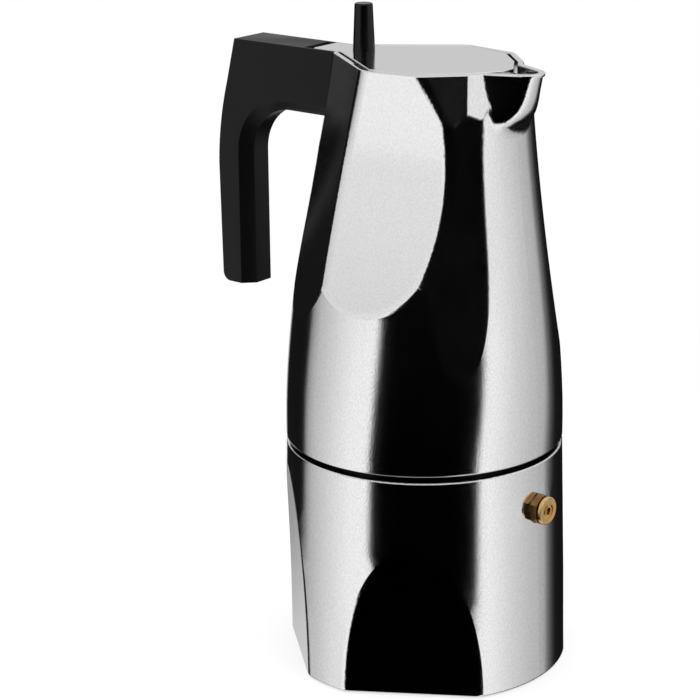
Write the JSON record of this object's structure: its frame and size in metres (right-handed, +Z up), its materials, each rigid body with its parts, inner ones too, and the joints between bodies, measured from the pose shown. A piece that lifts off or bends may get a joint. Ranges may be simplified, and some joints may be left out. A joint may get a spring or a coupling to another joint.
{
  "type": "moka pot",
  "caption": "Stove-top moka pot with a faceted polished boiler and pot, hinged lid, dark handle and peg knob, basket, gasket, filter plate and brass safety valve.",
  "frame": {"origin": "centre of the flat base, on the table, under the pot's axis", "axes": "+Z up along the pot's axis, +X towards the spout and the safety valve, the handle at -X"},
  "size_m": [0.1334, 0.0936, 0.213],
  "materials": {
    "polished_aluminium": "polished cast aluminium",
    "spun_aluminium": "satin pressed aluminium",
    "valve_brass": "turned brass",
    "steel": "bright steel",
    "handle_plastic": "finely textured black heat-resistant plastic",
    "seal_rubber": "pale silicone rubber"
  },
  "bodies": {
    "boiler": {"boiler": "polished_aluminium", "valve_washer": "valve_brass", "valve_body": "valve_brass", "valve_cap": "valve_brass", "valve_spring": "steel"},
    "valve_pin": {"valve_plunger": "valve_brass", "valve_seal": "seal_rubber"},
    "funnel": {"funnel": "spun_aluminium", "funnel_sieve": "spun_aluminium"},
    "seal": {"gasket": "seal_rubber", "filter_plate": "spun_aluminium"},
    "pot": {"upper_pot": "polished_aluminium", "handle": "handle_plastic", "handle_inserts": "valve_brass", "handle_washers": "steel", "handle_screws": "steel", "hinge_pin": "steel"},
    "lid": {"lid": "polished_aluminium", "lid_knob": "handle_plastic", "knob_insert": "valve_brass", "knob_washer": "steel", "knob_screw": "steel"}
  },
  "joints": [
    {"name": "valve_lift", "type": "slide", "parent": "boiler", "child": "valve_pin", "axis": [1, 0, 0], "range_m": [0, 0.0012], "stiffness_N_per_m": 400, "springref_m": -0.001, "deforming": ["valve_spring"]},
    {"name": "funnel_lift", "type": "slide", "parent": "boiler", "child": "funnel", "axis": [0, 0, 1], "range_m": [0, 0.08]},
    {"name": "pot_lift", "type": "slide", "parent": "funnel", "child": "seal", "axis": [0, 0, 1], "range_m": [0, 0.0121]},
    {"name": "pot_turn", "type": "hinge", "parent": "seal", "child": "pot", "pos_m": [0, 0, 0.0911], "axis": [0, 0, 1], "range_deg": [0, 1080]},
    {"name": "lid_open", "type": "hinge", "parent": "pot", "child": "lid", "pos_m": [-0.0364, 0, 0.194], "axis": [0, -1, 0], "range_deg": [0, 100]}
  ],
  "couplings": [
    {"joint": "pot_lift", "follows": "pot_turn", "m_per_rad": 0.00063662}
  ]
}
